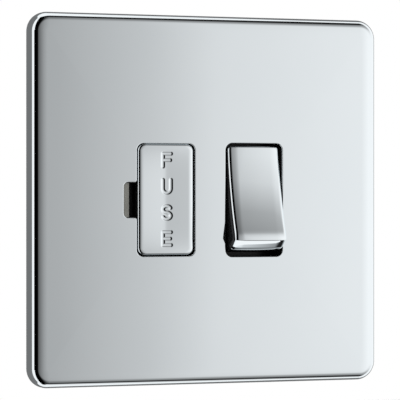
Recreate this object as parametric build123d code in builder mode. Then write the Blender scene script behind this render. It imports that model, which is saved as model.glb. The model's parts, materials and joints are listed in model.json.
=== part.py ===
from build123d import *
import os
from math import cos, radians, sin, tan

# Fused spur unit: a flush wall accessory with a double-pole rocker switch and a pull-out
# fuse carrier behind a clip-on front plate. Millimetres and degrees.
# +X is right and +Z is up as the unit is seen on the wall, and its front faces -Y.
# The origin lies midway between the two box-screw slots, on the wall plane, so the plate
# stands at negative Y and the housing and terminals reach into the wall box at positive Y.
# The rocker is in its off position, with its top pressed in.

# Front plate, a pressed tray
plate_size = 95.0
plate_depth = 3.7
plate_sheet = 0.8
plate_corner_r = 5.0
plate_edge_r = 2.1
pry_notch_width = 8.0
pry_notch_depth = 0.9
pry_notch_reach = 2.4

# Openings in the plate, one for the rocker and one for the fuse cover; the pair stands a
# little right of the plate's middle
opening_width = 15.75
opening_pitch = 24.1
opening_shift = 0.6
opening_corner_r = 1.8
opening_break = 0.2
notch_width = 3.5
notch_height = 9.1
notch_corner_r = 1.2
notch_inner_r = 0.6

# Wall gasket and the moulded frame that clips the plate to the yoke
gasket_thick = 0.5
gasket_inset = 0.5
frame_fit = 0.05
frame_width = 5.3
finger_length = 9.0
finger_reach = 1.0
finger_relief = 0.9
finger_relief_place = 1.8
finger_relief_length = 18.0
finger_place = 20.0

# Yoke, a flanged steel tray
yoke_gap = 0.35
yoke_thick = 1.2
yoke_flange = 1.4
yoke_flange_end = 9.0
yoke_corner_r = 4.0
slot_spacing = 60.3
slot_width = 4.0
slot_length = 6.0
window_gap = 0.3

# Mouldings
housing_margin = 1.125
housing_height = 59.0
housing_corner_r = 2.0
housing_wall = 1.6
well_lip = 0.05
well_wall = 1.5
plate_gap = 0.3
rocker_well_depth = 4.2
bump_wall = 1.1
notch_ramp_width = 1.3
notch_ramp_drop = 1.2
notch_floor_depth = 2.8
notch_gap = 0.15

# Rocker, sized in its own frame: length along the face, height outward from the pivot
pivot_depth = 3.9
rocker_tilt = 14.1
rocker_gap = 0.6
rocker_end_gap = 2.2
rocker_height = 6.45
rocker_dish = 0.93
rocker_draft = 17.0
rocker_edge_r = 1.0
cap_depth = 4.57
cap_wall = 0.9
cap_fit = 0.05
skirt_inset = 0.2
skirt_overhang = 1.0
skirt_drop = 3.0
skirt_wall = 1.5
dolly_length = 6.0
dolly_drop = 4.6
trunnion_r = 1.5
trunnion_fit = 0.05
trunnion_end_gap = 0.2

# Switch poles
pole_pitch = 6.4
plunger_r = 1.5
plunger_length = 5.8
plunger_reach = 7.0
plunger_gap = 0.25
plunger_fit = 0.05
plunger_bore_top = 2.6
spring_wire = 0.4
spring_turns = 3
contact_tilt = 8.0
arm_half = 8.0
arm_width = 3.4
arm_thick = 0.8
arm_rise = 0.55
arm_bend = 11.0
bead_r = 0.7
bead_fit = 0.05
pillar_length = 2.6
pillar_drop = 0.45
tip_r = 1.2
tip_thick = 0.6
tip_place = 6.6
fixed_tip_thick = 0.5
closed_gap = 0.15
strap_thick = 0.8
strap_width = 4.0
strap_turn_gap = 6.0

# Fuse carrier and cartridge fuse
cover_gap = 0.3
cover_thick = 1.6
cover_corner_r = 1.6
cover_edge_r = 1.1
carrier_inset = 0.25
carrier_web = 1.8
carrier_wall = 1.2
carrier_tail = 0.5
carrier_stop_gap = 0.3
pry_recess_depth = 1.2
fuse_clear = 0.3
fuse_length = 25.4
fuse_cap_r = 3.175
fuse_cap_length = 5.7
fuse_cap_wall = 0.225
fuse_fit = 0.05
fuse_end_gap = 0.25
saddle_end_gap = 0.5
saddle_wall = 1.6
saddle_grip = 1.2
clip_inset = 2.9
clip_sheet = 0.6
clip_gap = 0.065
clip_mouth = 1.7
clip_flare = 0.8
clip_flare_length = 1.0
pocket_strap_gap = 0.6
ledge_width = 1.5

# Rear base and terminals
floor_thick = 1.8
bay_depth = 10.5
bay_wall = 1.6
bay_gap = 1.85
bay_rib_gap = 0.3
bay_break = 0.4
terminal_side_gap = 2.6
terminal_width = 8.0
terminal_depth = 8.0
terminal_length = 8.5
terminal_inset = 3.0
terminal_break = 0.4
wire_bore_r = 2.1
wire_bore_depth = 3.5
tail_depth = 5.5
tail_gap = 0.2
tail_side_gap = 0.4

# Screws
terminal_screw_r = 1.9
terminal_head_r = 2.9
terminal_head = 1.5
terminal_head_gap = 0.4
terminal_tip_gap = 0.2
yoke_screw_r = 1.4
yoke_screw_clear = 0.2
yoke_screw_length = 6.0
yoke_head_r = 2.8
yoke_head = 1.5
yoke_screw_inset_x = 4.7
yoke_screw_inset_z = 6.5
base_screw_r = 1.2
base_screw_clear = 0.15
base_screw_length = 7.0
base_head_r = 2.2
base_head = 1.4
base_screw_inset = 2.7
base_head_gap = 0.65
screw_fit = 0.05
boss_wall = 1.0
boss_end = 1.2
slot_cut_width = 0.8
slot_cut_depth = 0.6

# Places that follow from the sizes above
plate_rear = -gasket_thick
plate_front = plate_rear - plate_depth
plate_inside = plate_front + plate_sheet
opening_height = fuse_length + 2 * (fuse_end_gap + carrier_wall + carrier_inset + cover_gap)
rocker_x = opening_shift + opening_pitch / 2
fuse_x = opening_shift - opening_pitch / 2
opening_half = opening_width / 2
notch_edge_x = fuse_x - opening_half
notch_far_x = notch_edge_x - notch_width
well_width = opening_width - 2 * well_lip
well_height = opening_height - 2 * well_lip
tower_width = well_width + 2 * well_wall
tower_height = well_height + 2 * well_wall
tower_front = plate_inside + plate_gap
bump_inner_x = fuse_x - well_width / 2
bump_width = bump_inner_x - notch_far_x + bump_wall
bump_x = bump_inner_x - bump_width / 2
bump_height = notch_height + 2 * bump_wall
frame_size = plate_size - 2 * plate_sheet - 2 * frame_fit
frame_opening = frame_size - 2 * frame_width
yoke_size = frame_opening - 2 * finger_reach - 2 * yoke_gap
yoke_flange_length = yoke_size - 2 * yoke_flange_end
housing_width = 2 * (bump_wall + housing_margin - notch_far_x)
yoke_screw_x = housing_width / 2 - yoke_screw_inset_x
yoke_screw_z = housing_height / 2 - yoke_screw_inset_z
rocker_width = opening_width - 2 * rocker_gap
rocker_length = opening_height - 2 * rocker_end_gap
skirt_width = rocker_width - 2 * skirt_inset
skirt_r = rocker_length / 2 + skirt_overhang
pivot_y = plate_front + pivot_depth
pole_places = {"live": rocker_x - pole_pitch / 2, "neutral": rocker_x + pole_pitch / 2}
contact_y = pivot_y + plunger_reach + plunger_gap + arm_rise
pillar_front = contact_y + pillar_drop

# Where a moving tip stands once its arm has swung shut, and what lies behind it
tip_along = tip_place + tip_thick * sin(radians(arm_bend))
tip_out = (
    arm_rise
    - arm_thick
    + tip_place * tan(radians(arm_bend))
    - tip_thick * cos(radians(arm_bend))
)
shut_depth = tip_along * sin(radians(contact_tilt)) - tip_out * cos(radians(contact_tilt))
tip_slant = tip_r * sin(radians(arm_bend - contact_tilt))
fixed_tip_front = contact_y + shut_depth + tip_slant + closed_gap
strap_front = fixed_tip_front + fixed_tip_thick
floor_front = strap_front + strap_thick
floor_rear = floor_front + floor_thick
base_rear = floor_rear + bay_depth

cover_width = opening_width - 2 * cover_gap
cover_height = opening_height - 2 * cover_gap
cover_rear = plate_front + cover_thick
web_rear = cover_rear + carrier_web
fuse_y = web_rear + fuse_clear + fuse_cap_r
carrier_width = cover_width - 2 * carrier_inset
carrier_height = cover_height - 2 * carrier_inset
carrier_rear = fuse_y + fuse_cap_r + carrier_tail
pocket_rear = strap_front - pocket_strap_gap
saddle_length = fuse_length - 2 * fuse_cap_length - 2 * saddle_end_gap
clip_place = fuse_length / 2 - clip_inset
fuse_tube_r = fuse_cap_r - fuse_cap_wall - fuse_fit

terminal_pitch = housing_width / 2 - bay_wall - terminal_side_gap - terminal_width / 2
terminal_place = housing_height / 2 - terminal_inset - terminal_length
terminal_rear = floor_rear + terminal_depth
bore_y = floor_rear + wire_bore_depth
tail_rear = floor_rear + tail_depth
tail_place = terminal_place - strap_thick / 2
strap_turn_place = terminal_place - strap_turn_gap
bay_wall_place = terminal_place - bay_gap
bay_rib_start = terminal_place + bay_rib_gap
base_screw_x = housing_width / 2 - base_screw_inset
base_screw_z = bay_wall_place - bay_wall / 2 - base_head_r - base_head_gap
terminals = [
    ("load_live_terminal", -terminal_pitch, 1),
    ("supply_live_terminal", 0.0, 1),
    ("supply_neutral_terminal", terminal_pitch, 1),
    ("left_earth_terminal", -terminal_pitch, -1),
    ("centre_earth_terminal", 0.0, -1),
    ("load_neutral_terminal", terminal_pitch, -1),
]


def facing(y):
    """Plane parallel to the wall at depth y, looking out of the wall."""
    return Plane.XZ.offset(-y)


def rocker_side(x):
    """Plane across the rocker at x: along its length, then outward from the pivot."""
    turn = radians(rocker_tilt)
    return Plane((x, pivot_y, 0), x_dir=(0, sin(turn), cos(turn)), z_dir=(1, 0, 0))


def contact_side(x):
    """Plane across a rocking contact at x: along its length, then outward."""
    turn = radians(contact_tilt)
    return Plane((x, contact_y, 0), x_dir=(0, -sin(turn), cos(turn)), z_dir=(1, 0, 0))


def pole_axis(x):
    """Axis of the plunger at x, outward from the pivot."""
    return Axis(rocker_side(x).origin, rocker_side(x).y_dir)


def save(piece, name):
    """Label a finished piece and write it as one file."""
    piece.part.label = name
    export_step(piece.part, f"parts/{name}.step")


os.makedirs("parts", exist_ok=True)
from_low = (Align.MIN, Align.MIN)

# Front plate: a tray pressed from sheet, open at the wall side
with BuildPart() as front_plate:
    with BuildSketch(facing(plate_rear)):
        RectangleRounded(plate_size, plate_size, plate_corner_r)
    extrude(amount=plate_depth)
    fillet(front_plate.faces().sort_by(Axis.Y)[0].edges(), plate_edge_r)
    offset(amount=-plate_sheet, openings=front_plate.faces().sort_by(Axis.Y)[-1])
    with BuildSketch(facing(plate_front)) as openings:
        with Locations((rocker_x, 0), (fuse_x, 0)):
            RectangleRounded(opening_width, opening_height, opening_corner_r)
        with Locations((notch_edge_x, 0)):
            Rectangle(notch_width, notch_height, align=(Align.MAX, Align.CENTER))
        fillet(openings.vertices().group_by(Axis.X)[0], notch_corner_r)
        notch_roots = openings.vertices().filter_by_position(
            Axis.X, notch_edge_x - notch_inner_r, notch_edge_x + notch_inner_r
        )
        fillet(notch_roots.sort_by(lambda v: abs(v.Y))[:2], notch_inner_r)
    extrude(amount=-plate_depth, mode=Mode.SUBTRACT)
    chamfer(front_plate.faces().sort_by(Axis.Y)[0].inner_wires().edges(), opening_break)
    with BuildSketch(facing(plate_rear)):
        with Locations((0, -plate_size / 2)):
            Rectangle(pry_notch_width, pry_notch_reach)
    extrude(amount=pry_notch_depth, mode=Mode.SUBTRACT)
save(front_plate, "front_plate")

# Clip frame: a moulded ring inside the plate, with sprung fingers that grip the yoke
with BuildPart() as clip_frame:
    with BuildSketch(facing(plate_rear)):
        RectangleRounded(frame_size, frame_size, plate_corner_r - plate_sheet)
    extrude(amount=plate_rear - plate_inside)
    chamfer(clip_frame.faces().sort_by(Axis.Y)[0].edges(), plate_edge_r - plate_sheet)
    with BuildSketch(facing(plate_rear)):
        RectangleRounded(frame_opening, frame_opening, yoke_corner_r)
    extrude(amount=plate_rear - plate_inside, mode=Mode.SUBTRACT)
    with BuildSketch(facing(plate_rear)):
        with PolarLocations(frame_opening / 2, 4):
            with Locations((0, -finger_place), (0, finger_place)):
                Rectangle(finger_reach, finger_length, align=(Align.MAX, Align.CENTER))
    extrude(amount=plate_rear - plate_inside)
    with BuildSketch(facing(plate_rear)):
        with PolarLocations(frame_opening / 2 + finger_relief_place, 4):
            with Locations((0, -finger_place), (0, finger_place)):
                Rectangle(finger_relief, finger_relief_length)
    extrude(amount=plate_rear - plate_inside, mode=Mode.SUBTRACT)
save(clip_frame, "clip_frame")

# Wall gasket: a thin frame between the plate's rim and the wall
gasket_size = plate_size - 2 * gasket_inset
with BuildPart() as wall_gasket:
    with BuildSketch(facing(0)):
        RectangleRounded(gasket_size, gasket_size, plate_corner_r - gasket_inset)
        RectangleRounded(frame_opening, frame_opening, yoke_corner_r, mode=Mode.SUBTRACT)
    extrude(amount=gasket_thick)
save(wall_gasket, "wall_gasket")

# Yoke: steel tray with upturned flanges, windows for the two wells and the fixing slots
with BuildPart() as yoke:
    with BuildSketch(facing(0)):
        RectangleRounded(yoke_size, yoke_size, yoke_corner_r)
    extrude(amount=yoke_thick)
    with BuildSketch(facing(-yoke_thick)):
        with PolarLocations(yoke_size / 2, 4):
            Rectangle(yoke_thick, yoke_flange_length, align=(Align.MAX, Align.CENTER))
    extrude(amount=yoke_flange)
    with BuildSketch(facing(0)):
        with Locations((rocker_x, 0), (fuse_x, 0)):
            Rectangle(tower_width + 2 * window_gap, tower_height + 2 * window_gap)
        with Locations((bump_x, 0)):
            Rectangle(bump_width + 2 * window_gap, bump_height + 2 * window_gap)
        with Locations((-slot_spacing / 2, 0), (slot_spacing / 2, 0)):
            SlotOverall(slot_length, slot_width)
        with GridLocations(2 * yoke_screw_x, 2 * yoke_screw_z, 2, 2):
            Circle(yoke_screw_r + yoke_screw_clear)
    extrude(amount=yoke_thick, mode=Mode.SUBTRACT)
save(yoke, "yoke")

# Front housing: black moulding with the rocker well, the fuse pocket and the switch chamber
tail_slot = (strap_width + 2 * tail_side_gap, strap_thick + 2 * tail_gap)
with BuildPart() as front_housing:
    with BuildSketch(facing(floor_front)):
        RectangleRounded(housing_width, housing_height, housing_corner_r)
    extrude(amount=floor_front)
    with BuildSketch(facing(0)):
        with Locations((rocker_x, 0), (fuse_x, 0)):
            Rectangle(tower_width, tower_height)
        with Locations((bump_x, 0)):
            Rectangle(bump_width, bump_height)
    extrude(amount=-tower_front)
    with BuildSketch(facing(floor_front)):
        Rectangle(housing_width - 2 * housing_wall, housing_height - 2 * housing_wall)
    extrude(amount=floor_front - housing_wall, mode=Mode.SUBTRACT)
    # Walls of the two wells run on into the chamber
    with BuildSketch(facing(rocker_well_depth)):
        with Locations((rocker_x, 0)):
            Rectangle(tower_width, tower_height)
    extrude(amount=rocker_well_depth - housing_wall)
    with BuildSketch(facing(pocket_rear)):
        with Locations((fuse_x, 0)):
            Rectangle(tower_width, tower_height)
    extrude(amount=pocket_rear - housing_wall)
    # Square bosses for the yoke screws and the base screws
    yoke_boss = 2 * (yoke_screw_r + boss_wall)
    base_boss = 2 * (base_screw_r + boss_wall)
    with BuildSketch(facing(yoke_screw_length + boss_end)):
        with GridLocations(2 * yoke_screw_x, 2 * yoke_screw_z, 2, 2):
            Rectangle(yoke_boss, yoke_boss)
    extrude(amount=yoke_screw_length + boss_end - housing_wall)
    with BuildSketch(facing(floor_front)):
        with GridLocations(2 * base_screw_x, 2 * base_screw_z, 2, 2):
            Rectangle(base_boss, base_boss)
    extrude(amount=floor_front - housing_wall)
    # The wells themselves, and the ledges that stop the fuse carrier
    with BuildSketch(facing(floor_front)):
        with Locations((rocker_x, 0), (fuse_x, 0)):
            RectangleRounded(well_width, well_height, opening_corner_r - well_lip)
    extrude(amount=floor_front - tower_front, mode=Mode.SUBTRACT)
    with BuildSketch(facing(pocket_rear)):
        with Locations((fuse_x, 0)):
            Rectangle(well_width, well_height)
            Rectangle(well_width, well_height - 2 * ledge_width, mode=Mode.SUBTRACT)
    extrude(amount=pocket_rear - carrier_rear - carrier_stop_gap)
    # Bearings for the rocker's trunnions
    with BuildSketch(rocker_side(rocker_x)):
        Circle(trunnion_r + trunnion_fit)
    extrude(amount=tower_width / 2, both=True, mode=Mode.SUBTRACT)
    # Screwdriver recess: a ramp, then a drop that opens under the cover's edge
    with BuildSketch(Plane.XY):
        with BuildLine():
            Polyline(
                (notch_far_x + notch_gap, tower_front),
                (notch_far_x + notch_ramp_width, tower_front + notch_ramp_drop),
                (notch_far_x + notch_ramp_width, tower_front + notch_floor_depth),
                (bump_inner_x, tower_front + notch_floor_depth),
                (bump_inner_x, tower_front),
                close=True,
            )
        make_face()
    extrude(amount=notch_height / 2 - notch_gap, both=True, mode=Mode.SUBTRACT)
    # Slot for the earth strap, and holes for the screws
    with BuildSketch(facing(housing_wall)):
        with Locations((0, -tail_place)):
            Rectangle(*tail_slot)
    extrude(amount=housing_wall, mode=Mode.SUBTRACT)
    with BuildSketch(facing(0)):
        with GridLocations(2 * yoke_screw_x, 2 * yoke_screw_z, 2, 2):
            Circle(yoke_screw_r + screw_fit)
    extrude(amount=-yoke_screw_length, mode=Mode.SUBTRACT)
    with BuildSketch(facing(floor_front)):
        with GridLocations(2 * base_screw_x, 2 * base_screw_z, 2, 2):
            Circle(base_screw_r + screw_fit)
    extrude(amount=base_screw_length - floor_thick, mode=Mode.SUBTRACT)
save(front_housing, "front_housing")

# Rear base: floor under the contacts, with open bays round the terminals behind it
bay_reach = housing_height / 2 - bay_wall_place
with BuildPart() as rear_base:
    with BuildSketch(facing(floor_rear)):
        RectangleRounded(housing_width, housing_height, housing_corner_r)
    extrude(amount=floor_thick)
    with BuildSketch(facing(base_rear)):
        for side in (1, -1):
            with Locations((0, side * bay_wall_place)):
                Rectangle(housing_width, bay_wall)
            with GridLocations(housing_width - bay_wall, 0, 2, 1):
                with Locations((0, side * (bay_wall_place + bay_reach / 2))):
                    Rectangle(bay_wall, bay_reach)
            with GridLocations(terminal_pitch, 0, 2, 1):
                with Locations((0, side * (housing_height / 2 + bay_rib_start) / 2)):
                    Rectangle(bay_wall, housing_height / 2 - bay_rib_start)
        RectangleRounded(housing_width, housing_height, housing_corner_r, mode=Mode.INTERSECT)
    extrude(amount=bay_depth)
    chamfer(rear_base.faces().group_by(Axis.Y)[-1].edges(), bay_break)
    with BuildSketch(facing(floor_rear)):
        for name, x, side in terminals:
            with Locations((x, side * tail_place)):
                Rectangle(*tail_slot)
        with GridLocations(2 * base_screw_x, 2 * base_screw_z, 2, 2):
            Circle(base_screw_r + base_screw_clear)
    extrude(amount=floor_thick, mode=Mode.SUBTRACT)
save(rear_base, "rear_base")


def screws(places, seat, out, shank_r, length, head_r, head):
    """Slotted screws at places on the plane y = seat; out is the side of their heads."""
    with BuildPart() as group:
        with BuildSketch(facing(seat)):
            with Locations(*places):
                Circle(shank_r)
        extrude(amount=out * -length)
        with BuildSketch(facing(seat)):
            with Locations(*places):
                Circle(head_r)
        extrude(amount=out * head)
        with BuildSketch(facing(seat - out * head)):
            with Locations(*places):
                Rectangle(2 * head_r + slot_cut_width, slot_cut_width)
        extrude(amount=out * -slot_cut_depth, mode=Mode.SUBTRACT)
    return group


def corners(x, z):
    """The four points (±x, ±z)."""
    return [(x, z), (-x, z), (x, -z), (-x, -z)]


yoke_screws = screws(
    corners(yoke_screw_x, yoke_screw_z),
    -yoke_thick,
    1,
    yoke_screw_r,
    yoke_screw_length,
    yoke_head_r,
    yoke_head,
)
save(yoke_screws, "yoke_screws")
base_screws = screws(
    corners(base_screw_x, base_screw_z),
    floor_rear,
    -1,
    base_screw_r,
    base_screw_length - base_head,
    base_head_r,
    base_head,
)
save(base_screws, "base_screws")

# Rocker cap: dished chrome shell with drafted ends
half_face = rocker_length / 2
rim_height = rocker_height - cap_depth
half_rim = half_face + cap_depth * tan(radians(rocker_draft))
with BuildPart() as rocker_cap:
    with BuildSketch(rocker_side(rocker_x)):
        with BuildLine():
            face_arc = ThreePointArc(
                (-half_face, rocker_height),
                (0, rocker_height - rocker_dish),
                (half_face, rocker_height),
            )
            Polyline(face_arc @ 1, (half_rim, rim_height), (-half_rim, rim_height), face_arc @ 0)
        make_face()
    extrude(amount=rocker_width / 2, both=True)
    rim = rocker_cap.faces().sort_by(rocker_side(rocker_x).location.y_axis)[0].edges()
    fillet(rocker_cap.edges() - rim, rocker_edge_r)
    with BuildSketch(rocker_side(rocker_x)):
        with BuildLine():
            inner_arc = ThreePointArc(
                (-half_face + cap_wall, rocker_height - cap_wall),
                (0, rocker_height - rocker_dish - cap_wall),
                (half_face - cap_wall, rocker_height - cap_wall),
            )
            Polyline(
                inner_arc @ 1,
                (half_rim - cap_wall, rim_height),
                (-half_rim + cap_wall, rim_height),
                inner_arc @ 0,
            )
        make_face()
    extrude(amount=rocker_width / 2 - cap_wall, both=True, mode=Mode.SUBTRACT)
save(rocker_cap, "rocker_cap")

# Rocker body: black moulding that fills the cap, with a round-ended skirt, a dolly bored
# for the two plungers, and a trunnion on each side
core_half = half_face - cap_wall - cap_fit
core_rim_half = half_rim - cap_wall - cap_fit
core_top = rocker_height - cap_wall - cap_fit
skirt_top = rim_height - cap_fit
with BuildPart() as rocker_body:
    with BuildSketch(rocker_side(rocker_x)):
        with BuildLine():
            core_arc = ThreePointArc(
                (-core_half, core_top), (0, core_top - rocker_dish), (core_half, core_top)
            )
            Polyline(core_arc @ 1, (core_rim_half, skirt_top), (-core_rim_half, skirt_top), core_arc @ 0)
        make_face()
    extrude(amount=rocker_width / 2 - cap_wall - cap_fit, both=True)
    with BuildSketch(rocker_side(rocker_x)):
        Circle(skirt_r)
        with Locations((0, (skirt_top - skirt_drop) / 2)):
            Rectangle(2 * skirt_r, skirt_top + skirt_drop, mode=Mode.INTERSECT)
    extrude(amount=skirt_width / 2, both=True)
    with BuildSketch(rocker_side(rocker_x)):
        with Locations((0, (skirt_top + skirt_wall - skirt_drop) / 2)):
            Rectangle(2 * (core_half - skirt_wall), skirt_top + skirt_wall + skirt_drop)
    extrude(amount=skirt_width / 2 - skirt_wall, both=True, mode=Mode.SUBTRACT)
    with BuildSketch(rocker_side(rocker_x)):
        with Locations((0, -dolly_drop)):
            dolly_size = dolly_drop + skirt_top + skirt_wall
            Rectangle(dolly_length, dolly_size, align=(Align.CENTER, Align.MIN))
    extrude(amount=skirt_width / 2 - skirt_wall, both=True)
    for side in (1, -1):
        with BuildSketch(rocker_side(rocker_x + side * skirt_width / 2)):
            Circle(trunnion_r)
        extrude(amount=side * (tower_width / 2 - trunnion_end_gap - skirt_width / 2))
    for x in pole_places.values():
        with BuildSketch(rocker_side(x)):
            with Locations((0, -dolly_drop)):
                Rectangle(plunger_r + plunger_fit, plunger_bore_top + dolly_drop, align=from_low)
        revolve(axis=pole_axis(x), mode=Mode.SUBTRACT)
save(rocker_body, "rocker_body")

# Plunger and spring of each pole, sliding in the dolly
plunger_top = plunger_length - plunger_reach
spring_r = plunger_r - spring_wire
spring_height = plunger_bore_top - plunger_top - spring_wire
for pole, x in pole_places.items():
    with BuildPart() as plunger:
        with BuildSketch(rocker_side(x)):
            with BuildLine():
                shank_end = plunger_r - plunger_reach
                nose = RadiusArc((plunger_r, shank_end), (0, -plunger_reach), plunger_r)
                Polyline(nose @ 1, (0, plunger_top), (plunger_r, plunger_top), nose @ 0)
            make_face()
        revolve(axis=pole_axis(x))
    save(plunger, f"{pole}_plunger")
    with BuildPart() as spring:
        side = rocker_side(x)
        foot = side.origin + side.y_dir * (plunger_top + spring_wire / 2)
        with BuildLine() as coil:
            Helix(spring_height / spring_turns, spring_height, spring_r, foot, side.y_dir)
        with BuildSketch(coil.line ^ 0):
            Rectangle(spring_wire, spring_wire)
        sweep()
    save(spring, f"{pole}_spring")

# Rocking contact of each pole: a bent arm that tips on a bead, with a contact tip
slope = tan(radians(arm_bend))
arm_lift = arm_half * slope
for pole, x in pole_places.items():
    with BuildPart() as arm:
        with BuildSketch(contact_side(x)):
            with BuildLine():
                Polyline(
                    (-arm_half, arm_rise + arm_lift),
                    (0, arm_rise),
                    (arm_half, arm_rise + arm_lift),
                    (arm_half, arm_rise + arm_lift - arm_thick),
                    (0, arm_rise - arm_thick),
                    (-arm_half, arm_rise + arm_lift - arm_thick),
                    close=True,
                )
            make_face()
            Circle(bead_r)
        extrude(amount=arm_width / 2, both=True)
    save(arm, f"{pole}_moving_contact")
    side = contact_side(x)
    tip_seat = side.from_local_coords((tip_place, arm_rise - arm_thick + tip_place * slope, 0))
    tip_normal = side.x_dir * sin(radians(arm_bend)) - side.y_dir * cos(radians(arm_bend))
    with BuildPart() as tip:
        with BuildSketch(Plane(tip_seat, x_dir=(1, 0, 0), z_dir=tip_normal)):
            Circle(tip_r)
        extrude(amount=tip_thick)
    save(tip, f"{pole}_moving_tip")

# Fixed contact tips
with BuildPart() as fixed_tips:
    with BuildSketch(facing(strap_front)):
        with Locations(*[(x, tip_place) for x in pole_places.values()]):
            Circle(tip_r)
    extrude(amount=fixed_tip_thick)
save(fixed_tips, "fixed_contact_tips")


def strap(runs, tail=None, pillar_x=None):
    """Stamped strap on the base floor, from (x0, x1, z0, z1) runs seen from the front.

    tail is the (x, side) of a terminal whose face the strap turns back along, and
    pillar_x the place of an upright pillar, grooved for a rocking contact's bead.
    """
    with BuildPart() as piece:
        with BuildSketch(facing(floor_front)):
            for x0, x1, z0, z1 in runs:
                with Locations(((x0 + x1) / 2, (z0 + z1) / 2)):
                    Rectangle(x1 - x0, z1 - z0)
        extrude(amount=strap_thick)
        if tail:
            with BuildSketch(facing(tail_rear)):
                with Locations((tail[0], tail[1] * tail_place)):
                    Rectangle(strap_width, strap_thick)
            extrude(amount=tail_rear - strap_front)
        if pillar_x:
            with BuildSketch(Plane((pillar_x, 0, 0), x_dir=(0, 1, 0), z_dir=(1, 0, 0))):
                with Locations((pillar_front, 0)):
                    Rectangle(
                        strap_front - pillar_front, pillar_length, align=(Align.MIN, Align.CENTER)
                    )
                with Locations((contact_y, 0)):
                    Circle(bead_r + bead_fit, mode=Mode.SUBTRACT)
            extrude(amount=arm_width / 2, both=True)
    return piece


def band(centre, width):
    """The two edges of a run of strap of that width about its centre line."""
    return (centre - width / 2, centre + width / 2)


live_x = pole_places["live"]
neutral_x = pole_places["neutral"]
tip_low = tip_place - tip_r
live_run = band(live_x, arm_width)
neutral_run = band(neutral_x, arm_width)
centre_run = band(0, strap_width)
right_run = band(terminal_pitch, strap_width)
left_run = band(-terminal_pitch, strap_width)
cross_run = band(strap_turn_place, strap_width)
upper_clip_run = band(clip_place, strap_width)
lower_clip_run = band(-clip_place, strap_width)
clip_run = band(fuse_x, 2 * (fuse_cap_r + clip_gap + clip_sheet))
supply_live_strap = strap(
    [
        (*live_run, tip_low, cross_run[1]),
        (centre_run[0], live_run[1], *cross_run),
        (*centre_run, cross_run[0], terminal_place),
    ],
    tail=(0, 1),
)
save(supply_live_strap, "supply_live_strap")
supply_neutral_strap = strap(
    [
        (*neutral_run, tip_low, cross_run[1]),
        (neutral_run[0], right_run[1], *cross_run),
        (*right_run, cross_run[0], terminal_place),
    ],
    tail=(terminal_pitch, 1),
)
save(supply_neutral_strap, "supply_neutral_strap")
live_link_strap = strap(
    [
        (*live_run, lower_clip_run[0], pillar_length / 2),
        (clip_run[0], live_run[1], *lower_clip_run),
    ],
    pillar_x=live_x,
)
save(live_link_strap, "live_link_strap")
load_neutral_strap = strap(
    [
        (*neutral_run, -cross_run[1], pillar_length / 2),
        (neutral_run[0], right_run[1], -cross_run[1], -cross_run[0]),
        (*right_run, -terminal_place, -cross_run[0]),
    ],
    tail=(terminal_pitch, -1),
    pillar_x=neutral_x,
)
save(load_neutral_strap, "load_neutral_strap")
load_live_strap = strap(
    [
        (left_run[0], clip_run[1], *upper_clip_run),
        (*left_run, upper_clip_run[0], terminal_place),
    ],
    tail=(-terminal_pitch, 1),
)
save(load_live_strap, "load_live_strap")

# Earth strap: one stamping that joins both earth terminals and reaches the yoke
earth_bar_front = floor_rear + tail_gap
with BuildPart() as earth_strap:
    with BuildSketch(Plane.XY.offset(-terminal_place)):
        with Locations((left_run[0], earth_bar_front)):
            Rectangle(centre_run[1] - left_run[0], tail_rear - earth_bar_front, align=from_low)
        with Locations((centre_run[0], 0)):
            Rectangle(strap_width, earth_bar_front, align=from_low)
    extrude(amount=strap_thick)
save(earth_strap, "earth_strap")

# Terminals: brass blocks with a wire bore that opens away from the housing's middle
for name, x, side in terminals:
    with BuildPart() as terminal:
        with BuildSketch(Plane.XY.offset(side * terminal_place)):
            with Locations((x, (floor_rear + terminal_rear) / 2)):
                Rectangle(terminal_width, terminal_depth)
        extrude(amount=side * terminal_length)
        chamfer(terminal.edges().filter_by(Axis.Z), terminal_break)
        with BuildSketch(Plane.XY.offset(side * terminal_place)):
            with Locations((x, bore_y)):
                Circle(wire_bore_r)
        extrude(amount=side * terminal_length, mode=Mode.SUBTRACT)
        with BuildSketch(facing(terminal_rear)):
            with Locations((x, side * (terminal_place + terminal_length / 2))):
                Circle(terminal_screw_r + screw_fit)
        extrude(amount=terminal_rear - bore_y, mode=Mode.SUBTRACT)
    save(terminal, name)

terminal_head_seat = terminal_rear + terminal_head_gap
terminal_screws = screws(
    [(x, side * (terminal_place + terminal_length / 2)) for name, x, side in terminals],
    terminal_head_seat,
    -1,
    terminal_screw_r,
    terminal_head_seat - bore_y - wire_bore_r - terminal_tip_gap,
    terminal_head_r,
    terminal_head,
)
save(terminal_screws, "terminal_screws")

# Fuse clips: sprung forks that the fuse's end caps slide into
clip_inner = fuse_cap_r + clip_gap
clip_outer = clip_inner + clip_sheet
fork_front = fuse_y - clip_mouth
for name, z in (("upper_fuse_clip", clip_place), ("lower_fuse_clip", -clip_place)):
    with BuildPart() as clip:
        with BuildSketch(Plane.XY.offset(z)):
            with Locations((fuse_x, strap_front)):
                Rectangle(2 * clip_outer, strap_front - fork_front, align=(Align.CENTER, Align.MAX))
            with Locations((fuse_x, strap_front - clip_sheet)):
                fork_depth = strap_front - clip_sheet - fork_front
                Rectangle(2 * clip_inner, fork_depth, align=(Align.CENTER, Align.MAX), mode=Mode.SUBTRACT)
            for side in (1, -1):
                flare_front = fork_front - clip_flare_length
                with BuildLine():
                    Polyline(
                        (fuse_x + side * clip_inner, fork_front),
                        (fuse_x + side * clip_outer, fork_front),
                        (fuse_x + side * (clip_outer + clip_flare), flare_front),
                        (fuse_x + side * (clip_inner + clip_flare), flare_front),
                        close=True,
                    )
                make_face()
        extrude(amount=strap_width / 2, both=True)
    save(clip, name)

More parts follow.
